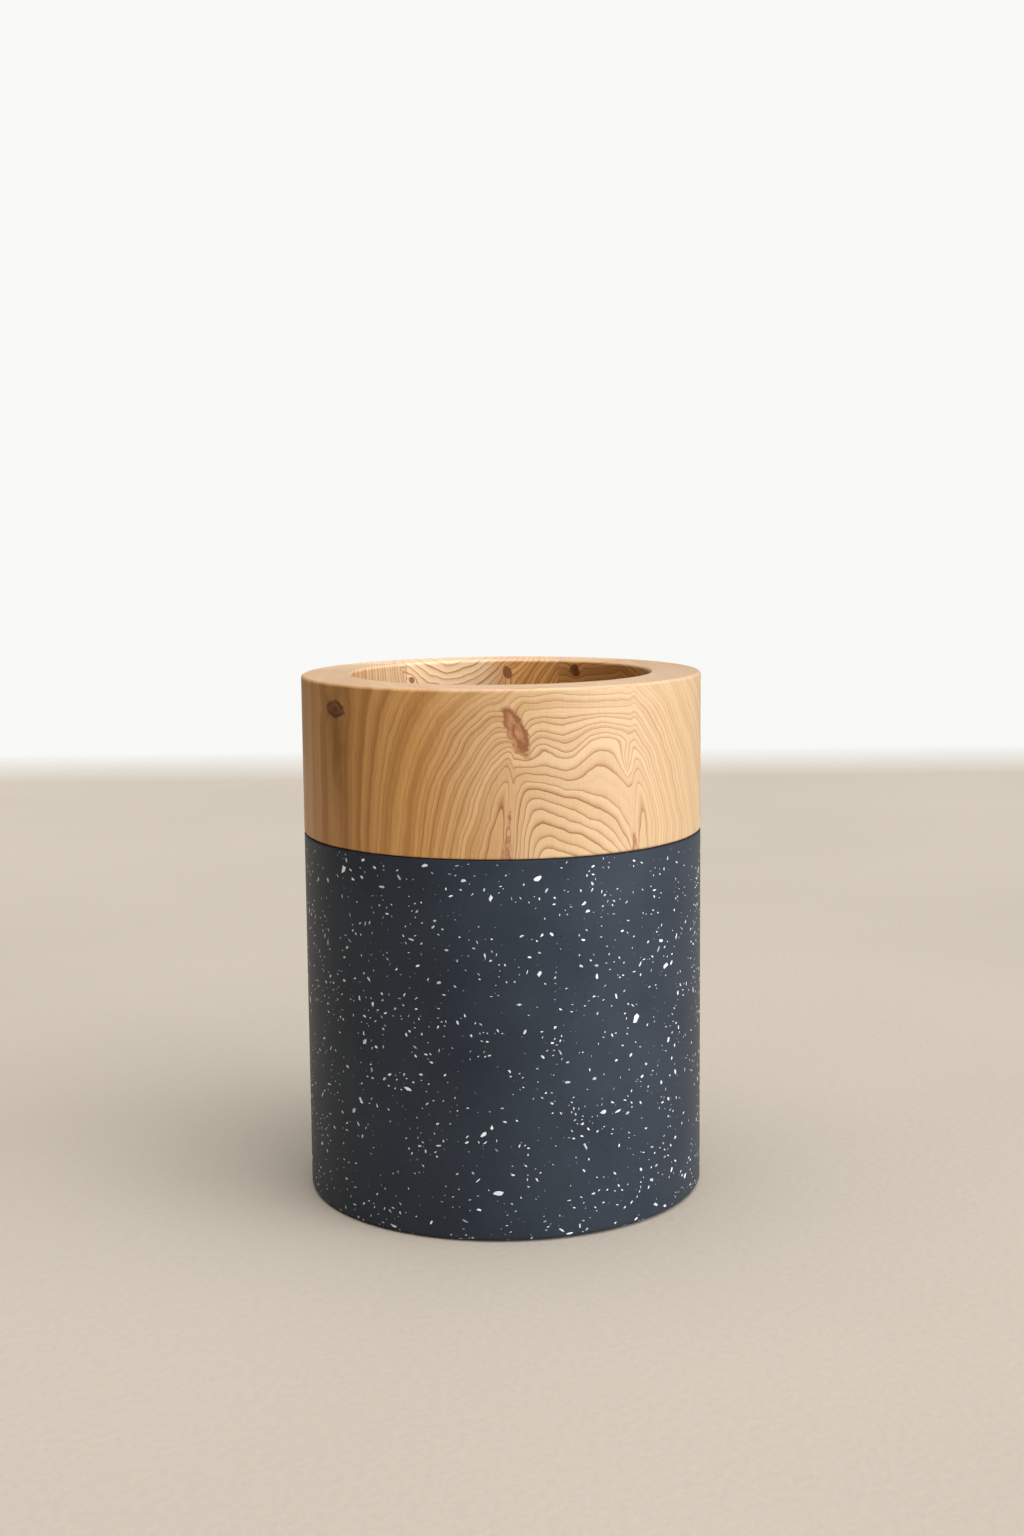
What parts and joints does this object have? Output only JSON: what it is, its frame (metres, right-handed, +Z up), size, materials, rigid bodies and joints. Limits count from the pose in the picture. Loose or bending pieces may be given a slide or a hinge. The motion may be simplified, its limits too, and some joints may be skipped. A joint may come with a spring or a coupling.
{
  "type": "pen holder cup",
  "caption": "Round desk cup for pens: a dark terrazzo body with a thick turned wooden collar glued into its mouth and a cork pad under its base.",
  "frame": {"origin": "centre of the face that the cup stands on, the underside of the base pad", "axes": "+Z up along the cup's axis and out of its mouth; -Y towards the side that is seen, with the glued-on back board of the collar on the +Y side"},
  "size_m": [0.08, 0.08, 0.1045],
  "materials": {
    "terrazzo": "matte",
    "collar_wood": "satin",
    "wood_glue": "matte",
    "epoxy": "matte",
    "cork": "matte",
    "contact_adhesive": "matte"
  },
  "bodies": {
    "root": {"cup_body": "terrazzo", "collar_front": "collar_wood", "collar_back": "collar_wood", "board_glue": "wood_glue", "collar_glue": "epoxy", "base_pad": "cork", "pad_glue": "contact_adhesive"}
  },
  "joints": []
}
